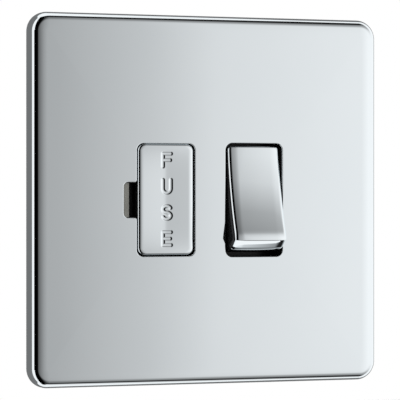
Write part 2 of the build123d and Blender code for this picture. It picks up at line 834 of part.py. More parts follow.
# Fuse carrier: open-backed tray with a saddle that grips the fuse between its caps
with BuildPart() as fuse_carrier:
    with BuildSketch(facing(carrier_rear)):
        with Locations((fuse_x, 0)):
            RectangleRounded(carrier_width, carrier_height, cover_corner_r)
    extrude(amount=carrier_rear - cover_rear)
    with BuildSketch(facing(carrier_rear)):
        with Locations((fuse_x, 0)):
            Rectangle(carrier_width - 2 * carrier_wall, carrier_height - 2 * carrier_wall)
    extrude(amount=carrier_rear - web_rear, mode=Mode.SUBTRACT)
    with BuildSketch(Plane.XY):
        with Locations((fuse_x, web_rear)):
            saddle_width = 2 * (fuse_tube_r + fuse_fit + saddle_wall)
            saddle_depth = fuse_y + saddle_grip - web_rear
            Rectangle(saddle_width, saddle_depth, align=(Align.CENTER, Align.MIN))
        with Locations((fuse_x, fuse_y)):
            Circle(fuse_tube_r + fuse_fit, mode=Mode.SUBTRACT)
            Rectangle(
                2 * (fuse_tube_r + fuse_fit),
                2 * saddle_grip,
                align=(Align.CENTER, Align.MIN),
                mode=Mode.SUBTRACT,
            )
    extrude(amount=saddle_length / 2, both=True)
    with BuildSketch(facing(cover_rear)):
        with Locations((fuse_x - carrier_width / 2, 0)):
            Rectangle(2 * carrier_wall, notch_height - 2 * notch_gap)
    extrude(amount=-pry_recess_depth, mode=Mode.SUBTRACT)
save(fuse_carrier, "fuse_carrier")

# Fuse cover: chrome face of the carrier
with BuildPart() as fuse_cover:
    with BuildSketch(facing(cover_rear)):
        with Locations((fuse_x, 0)):
            RectangleRounded(cover_width, cover_height, cover_corner_r)
    extrude(amount=cover_thick)
    fillet(fuse_cover.faces().sort_by(Axis.Y)[0].edges(), cover_edge_r)
save(fuse_cover, "fuse_cover")

# Cartridge fuse: ceramic tube with a pressed cap on each end
with BuildPart() as fuse_tube:
    with BuildSketch(Plane.XY):
        with Locations((fuse_x, fuse_y)):
            Circle(fuse_tube_r)
    extrude(amount=fuse_length / 2 - fuse_cap_wall - fuse_fit, both=True)
save(fuse_tube, "fuse_tube")
with BuildPart() as fuse_end_caps:
    for side in (1, -1):
        with BuildSketch(Plane.XY.offset(side * fuse_length / 2)):
            with Locations((fuse_x, fuse_y)):
                Circle(fuse_cap_r)
        extrude(amount=-side * fuse_cap_length)
        with BuildSketch(Plane.XY.offset(side * (fuse_length / 2 - fuse_cap_wall))):
            with Locations((fuse_x, fuse_y)):
                Circle(fuse_tube_r + fuse_fit)
        extrude(amount=-side * fuse_cap_length, mode=Mode.SUBTRACT)
save(fuse_end_caps, "fuse_end_caps")
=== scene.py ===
"""Studio scene of a fused spur unit: a mirror plate with a rocker and a pull-out fuse carrier.

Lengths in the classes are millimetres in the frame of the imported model: +X right, +Z up, the
front towards -Y, and the wall plane at Y = 0. Meshes are written in metres.
"""

import json
import logging
import math
from dataclasses import dataclass, replace
from enum import Enum

import bmesh
import bpy
import numpy as np
import numpy.typing as npt
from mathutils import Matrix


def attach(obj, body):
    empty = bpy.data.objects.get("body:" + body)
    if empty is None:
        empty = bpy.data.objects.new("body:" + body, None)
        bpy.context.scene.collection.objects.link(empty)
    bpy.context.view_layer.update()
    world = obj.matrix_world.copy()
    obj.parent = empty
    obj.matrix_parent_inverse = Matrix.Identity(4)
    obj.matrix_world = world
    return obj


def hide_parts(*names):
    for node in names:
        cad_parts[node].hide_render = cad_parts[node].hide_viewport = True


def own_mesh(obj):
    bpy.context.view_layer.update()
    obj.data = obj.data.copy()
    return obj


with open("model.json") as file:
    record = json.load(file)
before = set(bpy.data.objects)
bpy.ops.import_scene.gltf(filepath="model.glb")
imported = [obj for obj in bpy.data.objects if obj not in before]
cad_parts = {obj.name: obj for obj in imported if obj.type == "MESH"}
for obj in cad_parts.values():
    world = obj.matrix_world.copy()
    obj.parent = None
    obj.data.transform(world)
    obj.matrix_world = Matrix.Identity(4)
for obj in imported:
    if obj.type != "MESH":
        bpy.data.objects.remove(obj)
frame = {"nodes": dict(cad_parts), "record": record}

log = logging.getLogger("spur_unit")
Array = npt.NDArray[np.float64]
Pair = tuple[float, float]
Colour = tuple[float, float, float]
Arcs = tuple[tuple[float, float, int], ...]
Stops = tuple[Pair, ...]
Node = bpy.types.Node
Piece = bpy.types.Object
Material = bpy.types.Material

# Metres in a millimetre, the smallest divisor, and the distance in metres at which points weld
MM = 0.001
TINY = 1e-12
WELD_M = 1e-7
# Angles in degrees past which an edge stays sharp
CREASE = 40.0
SMOOTH = 180.0
# The rocker's pivot and how it leans at rest
PIVOT_Y = -0.3
ROCKER_TILT = 14.1
# The part of a noise's range that drives a finish
NOISE_MIDDLE = {"From Min": 0.3, "From Max": 0.7}
WHITE = (1.0, 1.0, 1.0, 1.0)
FLIP = np.array((-1.0, 1.0))


class Body(Enum):
    """The moving bodies that new pieces ride on."""

    PLATE = "plate"
    ROCKER = "rocker"
    CARRIER = "fuse_carrier"
    HOUSING = "housing"


class Slot(Enum):
    """The record's material slots."""

    CHROME = "polished_chrome"
    MOULDING = "black_moulding"
    BASE = "base_moulding"
    ZINC = "zinc_steel"
    BRASS = "brass"
    BRONZE = "clip_bronze"
    SILVER = "contact_silver"
    SPRING = "spring_steel"
    CERAMIC = "fuse_ceramic"
    CAP = "fuse_cap_plate"
    GASKET = "gasket_rubber"


def linear(value: float) -> float:
    """Linear light, where 1 is white, of a display value from 0 to 255."""
    share = value / 255.0
    return share / 12.92 if share <= 0.04045 else ((share + 0.055) / 1.055) ** 2.4


class NodeDesk:
    """The node tree of a material or a world, with short calls to add and feed its nodes."""

    def __init__(self, owner: bpy.types.ID, shader: str = "Principled BSDF") -> None:
        """Start on the tree's own shader.

        Args:
            owner: The material or world.
            shader: The name of its first shader node.
        """
        owner.use_nodes = True
        self.owner = owner
        self.tree = owner.node_tree
        self.shader = self.tree.nodes[shader]

    def feed(self, node: Node, socket: str | int, value: object) -> None:
        """Set an input socket, or link it to an output socket.

        Args:
            node: The node that has the input.
            socket: The input.
            value: A number or a colour, or a pair of another node and its output.
        """
        target = node.inputs[socket]
        if isinstance(value, tuple) and isinstance(value[0], Node):
            self.tree.links.new(value[0].outputs[value[1]], target)
        else:
            target.default_value = value

    def add(self, kind: str, values: dict[str | int, object] | None = None, **settings: object) -> Node:
        """Add a node.

        Args:
            kind: The node's type name.
            values: What feeds its input sockets, by socket.
            **settings: Properties of the node itself.

        Returns:
            The new node.
        """
        node = self.tree.nodes.new(kind)
        for key, value in settings.items():
            setattr(node, key, value)
        for key, value in (values or {}).items():
            self.feed(node, key, value)
        return node

    def grain(self, stretch: Colour, detail: float) -> Node:
        """A noise on Object coordinates, drawn out by its scale along each axis.

        Args:
            stretch: Grains per metre along X, Y and Z.
            detail: Octaves of finer noise.

        Returns:
            The noise node.
        """
        place = self.add("ShaderNodeTexCoord")
        scale = self.add("ShaderNodeMapping", {"Vector": (place, "Object"), "Scale": stretch})
        values = {"Vector": (scale, "Vector"), "Scale": 1.0, "Detail": detail, "Roughness": 0.55}
        return self.add("ShaderNodeTexNoise", values)

    def spread(self, source: Node, low: float, high: float, socket: str) -> None:
        """Drive a number of the shader between two values by a noise's middle range."""
        values = {"Value": (source, "Fac"), **NOISE_MIDDLE, "To Min": low, "To Max": high}
        self.feed(self.shader, socket, (self.add("ShaderNodeMapRange", values), "Result"))

    def blend(self, source: Node, *tones: Colour) -> None:
        """Drive the shader's base colour by a noise's middle range.

        Args:
            source: The noise node.
            *tones: The two colours that it runs between.
        """
        ramp = self.add("ShaderNodeValToRGB", {"Fac": (source, "Fac")})
        for stop, position, tone in zip(ramp.color_ramp.elements, NOISE_MIDDLE.values(), tones):
            stop.position = position
            stop.color = (*tone, 1.0)
        self.feed(self.shader, "Base Color", (ramp, "Color"))

    def emboss(self, source: Node, depth_mm: float, strength: float) -> None:
        """Raise the surface by a noise as a bump of that depth."""
        values = {"Height": (source, "Fac"), "Strength": strength, "Distance": depth_mm * MM}
        self.feed(self.shader, "Normal", (self.add("ShaderNodeBump", values), "Normal"))

    def fade(self, source: Node, marks: Stops) -> Node:
        """A grey ramp over an angle.

        Args:
            source: The node that gives the angle in radians.
            marks: Stops (degrees, grey), in order.

        Returns:
            The ramp node.
        """
        low, high = marks[0][0], marks[-1][0]
        values = {"Value": (source, 0), "From Min": math.radians(low), "From Max": math.radians(high)}
        span = self.add("ShaderNodeMapRange", values)
        ramp = self.add("ShaderNodeValToRGB", {"Fac": (span, "Result")})
        for _ in marks[2:]:
            ramp.color_ramp.elements.new(0.5)
        for stop, (angle, grey) in zip(ramp.color_ramp.elements, marks):
            stop.position = (angle - low) / (high - low)
            stop.color = (grey, grey, grey, 1.0)
        return ramp


@dataclass(frozen=True)
class Finish:
    """A bare or plated metal: its tone drifts in clouds, and its gloss and height follow a grain."""

    name: str
    tone: Colour
    cloud_tone: Colour
    gloss: Pair
    cloud: float
    grain: Colour
    depth_mm: float
    strength: float = 0.2
    specular: float = 0.5
    metallic: float = 1.0
    detail: Pair = (3.0, 4.0)

    def material(self) -> Material:
        """Build the node material.

        Returns:
            A material with clouds of tone and a bump of fine grain.
        """
        desk = NodeDesk(bpy.data.materials.new(self.name))
        desk.feed(desk.shader, "Metallic", self.metallic)
        desk.feed(desk.shader, "Specular IOR Level", self.specular)
        desk.blend(desk.grain((self.cloud,) * 3, self.detail[0]), self.tone, self.cloud_tone)
        grain = desk.grain(self.grain, self.detail[1])
        desk.spread(grain, *self.gloss, "Roughness")
        desk.emboss(grain, self.depth_mm, self.strength)
        return desk.owner


@dataclass(frozen=True)
class MouldedFinish(Finish):
    """A moulded or fired piece: even colour with faint clouds and the mould's own texture."""

    metallic: float = 0.0
    detail: Pair = (4.0, 2.0)


FINISHES: dict[Slot, Finish] = {
    Slot.CHROME: Finish(
        "mirror_chrome", (0.89, 0.937, 0.962), (0.875, 0.925, 0.952), (0.008, 0.016),
        40.0, (260.0, 260.0, 90.0), 0.002, 0.03,
    ),
    Slot.MOULDING: MouldedFinish(
        "gloss_black_moulding", (0.006, 0.006, 0.0065), (0.009, 0.009, 0.0095), (0.28, 0.36),
        90.0, (1800.0,) * 3, 0.01, 0.05, 0.35,
    ),
    Slot.BASE: MouldedFinish(
        "matt_black_moulding", (0.02, 0.02, 0.021), (0.028, 0.028, 0.029), (0.42, 0.6),
        90.0, (2600.0,) * 3, 0.03, 0.35,
    ),
    Slot.ZINC: Finish(
        "zinc_plated_steel", (0.70, 0.71, 0.73), (0.58, 0.60, 0.63), (0.2, 0.38),
        160.0, (2600.0, 400.0, 260.0), 0.01,
    ),
    Slot.BRASS: Finish(
        "drawn_brass", (0.80, 0.60, 0.27), (0.66, 0.46, 0.19), (0.16, 0.3),
        140.0, (2400.0, 2400.0, 160.0), 0.01,
    ),
    Slot.BRONZE: Finish(
        "spring_bronze", (0.74, 0.49, 0.30), (0.60, 0.38, 0.22), (0.18, 0.32),
        180.0, (300.0, 2200.0, 2200.0), 0.008,
    ),
    Slot.SILVER: Finish(
        "contact_silver", (0.90, 0.89, 0.86), (0.78, 0.76, 0.70), (0.2, 0.34),
        500.0, (1600.0,) * 3, 0.006,
    ),
    Slot.SPRING: Finish(
        "spring_wire", (0.52, 0.52, 0.54), (0.40, 0.40, 0.42), (0.22, 0.36),
        400.0, (2000.0,) * 3, 0.004,
    ),
    Slot.CERAMIC: MouldedFinish(
        "unglazed_ceramic", (0.80, 0.78, 0.73), (0.72, 0.70, 0.65), (0.4, 0.6),
        90.0, (1500.0,) * 3, 0.02, 0.3,
    ),
    Slot.CAP: Finish(
        "nickel_cap", (0.76, 0.74, 0.69), (0.64, 0.62, 0.57), (0.14, 0.26),
        220.0, (1500.0, 1500.0, 300.0), 0.006,
    ),
    Slot.GASKET: MouldedFinish(
        "foam_gasket", (0.03,) * 3, (0.045,) * 3, (0.7, 0.9),
        90.0, (1400.0,) * 3, 0.08, 0.6, 0.3,
    ),
}

# Painted sheen: the notch's ramp gets a lighter grey-olive colour that stands in for light falling on the
# slope of the black moulding
RAMP_PAINTED_SHEEN = MouldedFinish(
    "ramp_painted_sheen", (0.13, 0.13, 0.115), (0.2, 0.2, 0.18), (0.3, 0.45), 90.0, (2200.0,) * 3, 0.01,
)


class Skin:
    """Grids of points gathered into one closed mesh."""

    def __init__(self) -> None:
        """Start with no points."""
        self.points: list[Array] = []
        self.quads: list[npt.NDArray[np.int64]] = []
        self.count = 0

    def add(self, grid: Array, closed: bool = False) -> None:
        """Add a grid as quads between neighbouring rows and columns.

        Args:
            grid: Points in millimetres, rows by columns by three.
            closed: Whether the last column joins on to the first.
        """
        rows, columns = grid.shape[:2]
        index = self.count + np.arange(rows * columns).reshape(rows, columns)
        if closed:
            index = np.concatenate((index, index[:, :1]), axis=1)
        corners = (index[:-1, :-1], index[1:, :-1], index[1:, 1:], index[:-1, 1:])
        self.quads.append(np.stack(corners, axis=-1).reshape(-1, 4))
        self.points.append(grid.reshape(-1, 3))
        self.count += rows * columns

    def bar(self, corners: Array, low: float, high: float) -> None:
        """Add a bar of four sides along Z, with both ends shut.

        Args:
            corners: The section's corners (x, y) in order.
            low: Where it starts.
            high: Where it ends.
        """
        ends = [np.column_stack((corners, np.full(4, z))) for z in (low, high)]
        self.add(np.stack(ends), closed=True)
        for end in ends:
            self.add(np.stack((end[:2], end[:1:-1])))

    def piece(self, name: str, crease: float = CREASE) -> Piece:
        """Weld the grids into an object with smooth faces that point outwards.

        Args:
            name: The object's name.
            crease: Angle in degrees past which an edge stays sharp.

        Returns:
            The object, at the origin, with its place in its mesh.
        """
        mesh = bpy.data.meshes.new(name)
        mesh.from_pydata(np.concatenate(self.points) * MM, [], np.concatenate(self.quads).tolist())
        weld = bmesh.new()
        weld.from_mesh(mesh)
        bmesh.ops.remove_doubles(weld, verts=weld.verts, dist=WELD_M)
        bmesh.ops.recalc_face_normals(weld, faces=weld.faces)
        weld.to_mesh(mesh)
        weld.free()
        mesh.polygons.foreach_set("use_smooth", np.ones(len(mesh.polygons), dtype=bool))
        mesh.set_sharp_from_angle(angle=math.radians(crease))
        return add_object(name, mesh)


def add_object(name: str, data: bpy.types.ID) -> Piece:
    """Add an object to the scene.

    Args:
        name: Its name.
        data: Its mesh, lamp or camera.

    Returns:
        The object, at the origin.
    """
    made = bpy.data.objects.new(name, data)
    bpy.context.scene.collection.objects.link(made)
    return made


def settle(piece: Piece, body: Body, slot: Slot, *nodes: str) -> Piece:
    """Put a new piece on its body in place of CAD nodes, with its finish.

    Args:
        piece: The new object.
        body: The body that it rides on.
        slot: The record's material slot that it belongs to.
        *nodes: The CAD nodes that it stands for.

    Returns:
        The same object.
    """
    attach(piece, body.value)
    if nodes:
        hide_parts(*nodes)
    piece.data.materials.clear()
    piece.data.materials.append(dress(slot))
    log.info("%s: %d faces on %s", piece.name, len(piece.data.polygons), body.value)
    return piece


def dress(slot: Slot) -> Material:
    """The one material of a slot, made on first use."""
    finish = FINISHES[slot]
    return bpy.data.materials.get(finish.name) or finish.material()


def unit(rows: Array) -> Array:
    """Rows scaled to length 1."""
    return rows / np.maximum(np.linalg.norm(rows, axis=1, keepdims=True), TINY)


def circle(turn: Array) -> Array:
    """Points (cos, sin) of the unit circle at angles in radians."""
    return np.stack((np.cos(turn), np.sin(turn)), axis=-1)


def stand(points: Array, depth: Array | float) -> Array:
    """Points (x, z) at a depth, as (x, y, z)."""
    depth = np.broadcast_to(np.asarray(depth, dtype=float), points.shape[:-1])
    return np.stack((points[..., 0], depth, points[..., 1]), axis=-1)


def outline(corners: Array, radii: Array, steps: int) -> Array:
    """A closed polygon with each corner rounded by an arc.

    Each arc's centre lies on the corner's bisector at radius / sin(half angle), and its ends at
    radius / tan(half angle) along the two sides.

    Args:
        corners: Corner points in order, n by 2.
        radii: Radius at each corner, 0 for a sharp one.
        steps: Segments in each arc.

    Returns:
        The points of all the arcs in order.
    """
    before = unit(np.roll(corners, 1, axis=0) - corners)
    after = unit(np.roll(corners, -1, axis=0) - corners)
    half = np.arccos(np.clip((before * after).sum(axis=1), -1.0, 1.0)) / 2
    centre = corners + unit(before + after) * (radii / np.sin(half))[:, None]
    reach = (radii / np.tan(half))[:, None]
    start = corners + before * reach - centre
    end = corners + after * reach - centre
    first = np.arctan2(start[:, 1], start[:, 0])
    sweep = np.arctan2(end[:, 1], end[:, 0]) - first
    sweep = (sweep + np.pi) % (2 * np.pi) - np.pi
    turn = first[:, None] + sweep[:, None] * np.linspace(0.0, 1.0, steps + 1)[None, :]
    return (centre[:, None, :] + circle(turn) * radii[:, None, None]).reshape(-1, 2)


def bearings(points: Array, centre: Array) -> Array:
    """Bearings of points about a centre, in radians."""
    away = points - centre
    return np.arctan2(away[:, 1], away[:, 0])


def reach_outline(points: Array, centre: Array, bearing: Array) -> Array:
    """Where rays from a centre meet an outline that the centre sees whole.

    Between two neighbouring outline points the ray's share s solves cross(p + s (q - p), d) = 0.

    Args:
        points: The outline's points.
        centre: The rays' start.
        bearing: The rays' directions in radians.

    Returns:
        One point for each ray.
    """
    away, angle = points - centre, bearings(points, centre)
    order = np.argsort(angle, kind="stable")
    away, angle = away[order], angle[order]
    away = np.concatenate((away[-1:], away, away[:1]))
    angle = np.concatenate((angle[-1:] - 2 * np.pi, angle, angle[:1] + 2 * np.pi))
    place = np.clip(np.searchsorted(angle, bearing, side="right") - 1, 0, len(angle) - 2)
    start = away[place]
    run = away[place + 1] - start
    ray = circle(bearing)
    base = start[:, 0] * ray[:, 1] - start[:, 1] * ray[:, 0]
    slope = run[:, 0] * ray[:, 1] - run[:, 1] * ray[:, 0]
    share = np.clip(-base / np.where(np.abs(slope) < TINY, TINY, slope), 0.0, 1.0)
    return centre + start + run * share[:, None]


def outward(points: Array, half: Pair, radius: float) -> Array:
    """Outward unit normals of a rounded rectangle's outline, off the nearest point of its core."""
    core = np.clip(points, -np.array(half) + radius, np.array(half) - radius)
    return unit(points - core)


def rolled_edge(arcs: Arcs) -> Array:
    """Profile of a rolled edge, from a flat face to its side wall.

    Arcs follow one another without a kink. On an arc of radius r the reach grows as r sin(a) and
    the drop as -r cos(a), where a is the angle turned from the face.

    Args:
        arcs: Each arc's radius, the angle in degrees at its end, and its number of steps.

    Returns:
        Points (reach, drop).
    """
    points = [np.zeros((1, 2))]
    turned = 0.0
    for radius, angle, steps in arcs:
        bend = np.radians(np.linspace(turned, angle, steps + 1))
        arc = radius * np.stack((np.sin(bend), -np.cos(bend)), axis=-1)
        points.append(points[-1][-1] + arc[1:] - arc[0])
        turned = angle
    return np.concatenate(points)


def rocker_axes() -> Array:
    """The rocker's own axes as it rests: across, along and out of it.

    Returns:
        Three unit rows in the frame.
    """
    lean = math.radians(ROCKER_TILT)
    sine, cosine = math.sin(lean), math.cos(lean)
    return np.array(((1.0, 0.0, 0.0), (0.0, sine, cosine), (0.0, -cosine, sine)))


@dataclass
class FrontPlate:
    """The pressed tray with a rolled edge, two openings and the screwdriver notch."""

    size: float = 95.0
    front: float = -4.2
    rear: float = -0.5
    sheet: float = 0.8
    corner_r: float = 5.0
    inner_r: float = 1.3
    arcs: Arcs = ((26.4, 5.0, 10), (2.4, 90.0, 39))
    opening: Pair = (15.75, 29.4)
    opening_x: float = 12.05
    opening_shift: float = 0.6
    opening_r: float = 1.8
    opening_break: float = 0.2
    break_steps: int = 6
    shift_ends: Pair = (40.0, 36.0)
    shift_runs: Pair = (12.0, 16.0)
    cover_trim: float = 0.24
    notch: Pair = (3.5, 9.1)
    notch_r: Pair = (1.2, 0.6)
    pry_half: float = 4.0
    pry_depth: float = 0.9
    guard: float = 0.04
    bearing_digits: int = 5
    arc_steps: int = 16

    def window(self, notched: bool, inset: float) -> Array:
        """Outline of one opening about the plate's middle, at the left of it.

        Args:
            notched: Whether it is the cover's, a little shorter and with the screwdriver notch.
            inset: How far the outline is grown into the face.

        Returns:
            Points (x, z).
        """
        half_x = self.opening[0] / 2 + inset
        half_z = self.opening[1] / 2 + inset - self.cover_trim * notched
        round_r = self.opening_r + inset
        left, right = -self.opening_x - half_x, -self.opening_x + half_x
        corners = [(left, -half_z), (right, -half_z), (right, half_z), (left, half_z)]
        radii = [round_r] * 4
        if notched:
            far, half = left - self.notch[0], self.notch[1] / 2 + inset
            corners += [(left, half), (far, half), (far, -half), (left, -half)]
            outer, inner = self.notch_r[0] + inset, self.notch_r[1] - inset
            radii += [inner, outer, outer, inner]
        return outline(np.array(corners), np.array(radii), self.arc_steps)

    def slide(self, grid: Array) -> Array:
        """Move the middle of the face right, so that the openings stand off the plate's middle.

        The move is whole round both openings and fades evenly to nothing before the rim: along
        each axis its share is (end - distance) / run, from 0 to 1.

        Args:
            grid: Points of the face.

        Returns:
            The moved points.
        """
        moved = grid.copy()
        share = np.clip((self.shift_ends - np.abs(grid[..., ::2])) / self.shift_runs, 0.0, 1.0)
        moved[..., 0] += self.opening_shift * share.prod(axis=-1)
        return moved

    def flat(self) -> Pair:
        """Half size and corner radius of the flat face, inside the rolled edge."""
        reach = float(rolled_edge(self.arcs)[-1, 0])
        return self.size / 2 - reach, self.corner_r - reach

    def half_face(self) -> Array:
        """Outline of the left half of the flat face.

        Returns:
            Points (x, z), with a mark on each side of the pry slot's end.
        """
        half, round_r = self.flat()
        nick = self.pry_half
        corners = [(0.0, -half), (0.0, half), (-half, half), (-half, -half)]
        corners += [(-nick - self.guard, -half), (-nick + self.guard, -half)]
        radii = [0.0, 0.0, round_r, round_r, 0.0, 0.0]
        return outline(np.array(corners), np.array(radii), self.arc_steps)

    def lip(self, bearing: Array, notched: bool) -> Array:
        """Half the face from its inside, round the opening's edge, to the front.

        Each column runs along one bearing from the opening's middle, and each row is an outline
        of the opening grown by part of the edge break, or the half face's own outline.

        Args:
            bearing: Bearings of the columns about the opening's middle.
            notched: Whether this half has the screwdriver notch.

        Returns:
            The grid of points at the left half.
        """
        centre = np.array((-self.opening_x, 0.0))
        edge = reach_outline(self.half_face(), centre, bearing)
        mouth = reach_outline(self.window(notched, 0.0), centre, bearing)
        inside = self.front + self.sheet
        rows = [stand(edge, inside), stand(mouth, inside)]
        for turn in np.linspace(0.0, np.pi / 2, self.break_steps + 1):
            grown = self.window(notched, self.opening_break * (1 - math.cos(turn)))
            depth = self.front + self.opening_break * (1 - math.sin(turn))
            rows.append(stand(reach_outline(grown, centre, bearing), depth))
        last = rows[-1][:, ::2]
        near = last + unit(edge - last) * self.guard
        rows += [stand(near, self.front), stand(edge, self.front)]
        return np.stack(rows)

    def rim(self, path: Array) -> Array:
        """The rolled edge and side wall, inside and out, along the flat face's outline.

        Outside, a point stands off the outline by the roll's reach and falls by its drop. Inside,
        a quarter circle turns from the floor to the wall.

        Args:
            path: The flat face's outline, in order.

        Returns:
            The grid of points, closed along the path.
        """
        half, round_r = self.flat()
        normal = outward(path, (half, half), round_r)
        profile = rolled_edge(self.arcs)
        reach = profile[-1, 0]
        at_slot = (path[:, 1] < self.guard - half) & (np.abs(path[:, 0]) < self.pry_half)
        foot = self.rear - self.pry_depth * at_slot
        floor = self.front + self.sheet
        bend = reach - self.sheet - self.inner_r
        inner = rolled_edge(((self.inner_r, 90.0, self.arc_steps),))
        rows = [stand(path, floor)]
        rows += [stand(path + normal * (bend + out), floor + drop) for out, drop in inner]
        rows += [stand(path + normal * (reach - self.sheet), foot), stand(path + normal * reach, foot)]
        rows += [stand(path + normal * out, self.front + drop) for out, drop in profile[::-1]]
        return np.stack(rows)

    def build(self) -> None:
        """Join both halves of the face and the rim into the plate, riding on its body."""
        centre = np.array((-self.opening_x, 0.0))
        marks = [bearings(self.window(True, 0.0), centre), bearings(self.half_face(), centre)]
        bearing = np.unique(np.round(np.concatenate(marks), self.bearing_digits))
        skin = Skin()
        skin.add(self.slide(self.lip(bearing, True)), closed=True)
        skin.add(self.slide(self.lip(bearing, False) * np.array((-1.0, 1.0, 1.0))), closed=True)
        edge = reach_outline(self.half_face(), centre, bearing)
        half = self.flat()[0]
        top = int(np.argmin(np.hypot(edge[:, 0], edge[:, 1] - half)))
        loop = np.roll(edge, -top, axis=0)
        bottom = int(np.argmin(np.hypot(loop[:, 0], loop[:, 1] + half)))
        left = loop[: bottom + 1]
        skin.add(self.rim(np.concatenate((left, left[-2:0:-1] * FLIP))), closed=True)
        settle(skin.piece("front_plate_mirror"), Body.PLATE, Slot.CHROME, "front_plate")


@dataclass(frozen=True)
class CapEnd:
    """One end of the cap: where its face stops, the edge's radius, the knee and the wall's bulge."""

    face: float
    edge_r: float
    knee: Pair
    bulge: float = 0.0


@dataclass(frozen=True)
class CapSkin:
    """One side of the rocker's dished cap: a profile along its length, rounded at both flanks."""

    top: CapEnd = CapEnd(12.9, 0.6, (13.3, 4.17))
    bottom: CapEnd = CapEnd(12.25, 0.25, (13.6, 3.6), 0.014)
    arc_r: float = 84.5
    lowest: float = 5.52
    rim: Pair = (13.897, 1.88)
    half_width: float = 7.425
    flank_r: float = 1.4
    corner_r: float = 0.9
    crown_angle: float = 1.2
    lead_angle: float = 6.0
    lead_length: float = 1.8
    fold_angles: Pair = (42.0, 72.0)
    lip_start: float = 9.8
    lip_r: float = 7.0
    steps: int = 14
    wall_shares: tuple[float, ...] = (0.15, 0.3, 0.45, 0.6, 0.75, 0.9, 0.97, 1.0)
    skirt_shares: tuple[float, ...] = (0.03, 0.5, 1.0)

    def end(self, shape: CapEnd, inset: Array) -> tuple[Array, Array]:
        """One end of the outline, shrunk by each inset.

        A ball rolls from the face's arc on to a wall that slopes to the knee and from there to the
        rim, bulged by 4 b t (1 - t) at a share t down it. An inset adds to the arc's radius and
        takes from the ball's, down to a plain corner. The knee moves in along the two walls' mitre,
        by (n1 + n2) / (1 + n1 . n2).

        Args:
            shape: The end.
            inset: How far each row's outline is shrunk, as a column.

        Returns:
            The turn along the face's arc where the ball begins, and points (along, out).
        """
        centre = np.array((0.0, self.lowest + self.arc_r))
        knee, rim = np.array(shape.knee), np.array(self.rim)
        corner = np.array((shape.face, centre[1] - math.sqrt(self.arc_r**2 - shape.face**2)))
        downs = unit(np.array((knee - corner, rim - knee)))
        normals = np.stack((-downs[:, 1], downs[:, 0]), axis=-1)
        depth = np.maximum(inset, shape.edge_r)
        start = corner - depth * normals[0]
        middle = ((start - centre) @ downs[0])[:, None]
        spare = ((start - centre) ** 2).sum(axis=1, keepdims=True) - (self.arc_r + depth) ** 2
        ball = start + downs[0] * (np.sqrt(middle**2 - spare) - middle)
        lean = (ball - centre) / (self.arc_r + depth)
        first = np.arctan2(-lean[:, 1:], -lean[:, :1])
        last = math.atan2(normals[0, 1], normals[0, 0])
        turn = first + (last - first) * np.linspace(0.0, 1.0, self.steps + 1)[None, 1:]
        bend = ball[:, None, :] + (depth - inset)[..., None] * circle(turn)
        knees = (knee - inset * normals.sum(axis=0) / (1 + normals[0] @ normals[1]))[:, None, :]
        rims = (rim - inset * np.array((1 / normals[1, 0], 0.0)))[:, None, :]
        share = np.array(self.wall_shares)[None, :, None]
        bulge = 4 * shape.bulge * share * (1 - share) * normals[0]
        wall = bend[:, -1:] + (knees - bend[:, -1:]) * share + bulge
        skirt = knees + (rims - knees) * np.array(self.skirt_shares)[None, :, None]
        return np.arctan2(lean[:, :1], -lean[:, 1:]), np.concatenate((bend, wall, skirt), axis=1)

    def profile(self, inset: Array) -> Array:
        """The cap's outline along its length, shrunk by each inset: an arc between the two ends.

        Args:
            inset: How far each row's outline is shrunk.

        Returns:
            Points (along, out), insets by columns by two.
        """
        inset = inset[:, None]
        high, top = self.end(self.top, inset)
        low, bottom = self.end(self.bottom, inset)
        turn = -low + (high + low) * np.linspace(0.0, 1.0, 4 * self.steps + 1)[None, :]
        reach = self.arc_r + inset
        out = self.lowest + self.arc_r - reach * np.cos(turn)
        face = np.stack((reach * np.sin(turn), out), axis=-1)
        return np.concatenate((bottom[:, ::-1] * FLIP, face, top), axis=1)

    def section(self) -> Array:
        """The cap across its width: three arcs that meet smoothly, the crown, the lead and the flank.

        The crown's radius makes up the width that the other two leave.

        Returns:
            Points (across, inset) from one flank to the other.
        """
        angles = (self.crown_angle, self.lead_angle, 90.0)
        crown, lead, flank = np.sin(np.radians(angles))
        crown_r = (self.half_width - self.lead_length - self.flank_r * (flank - lead)) / crown
        radii = (crown_r, self.lead_length / (lead - crown), self.flank_r)
        half = rolled_edge(tuple(zip(radii, angles, (self.steps,) * 3)))
        return np.concatenate((half[:0:-1] * FLIP, half))

    def folds(self) -> tuple[int, int]:
        """Where the plated face ends and the bare flanks begin.

        Returns:
            The rows of the grid at the left and the right.
        """
        flank = 90.0 - self.lead_angle
        left, right = (round((fold - self.lead_angle) / flank * self.steps) for fold in self.fold_angles)
        return self.steps - left + 1, 5 * self.steps + right + 1

    def grid(self) -> Array:
        """The skin from rim to rim across the rocker.

        Each row is the outline at one place across, shrunk by the section's inset there, and the
        flanks fall straight from the last outline to the rim. The width draws in round the top
        corners by r - sqrt(r^2 - s^2). The lower lip rolls down by d^2 / (2 r) past its start, less
        and less towards the rim.

        Returns:
            Points (across, along, out), rows by columns by three.
        """
        section = self.section()
        outlines = self.profile(section[:, 1])
        along, out = outlines[..., 0], outlines[..., 1]
        spill = np.clip(along - self.top.face + self.corner_r, 0.0, self.corner_r)
        narrow = 1 - (self.corner_r - np.sqrt(self.corner_r**2 - spill**2)) / self.half_width
        past = np.clip(-along, self.lip_start, self.bottom.face) - self.lip_start
        height = self.lowest + self.bottom.face**2 / (2 * self.arc_r) - self.rim[1]
        fall = past**2 / (2 * self.lip_r) * (out - self.rim[1]) / height
        skin = np.stack((section[:, :1] * narrow, along, out - fall), axis=-1)
        feet = skin[[0, -1]].copy()
        feet[..., 2] = self.rim[1]
        return np.concatenate((feet[:1], skin, feet[1:]))


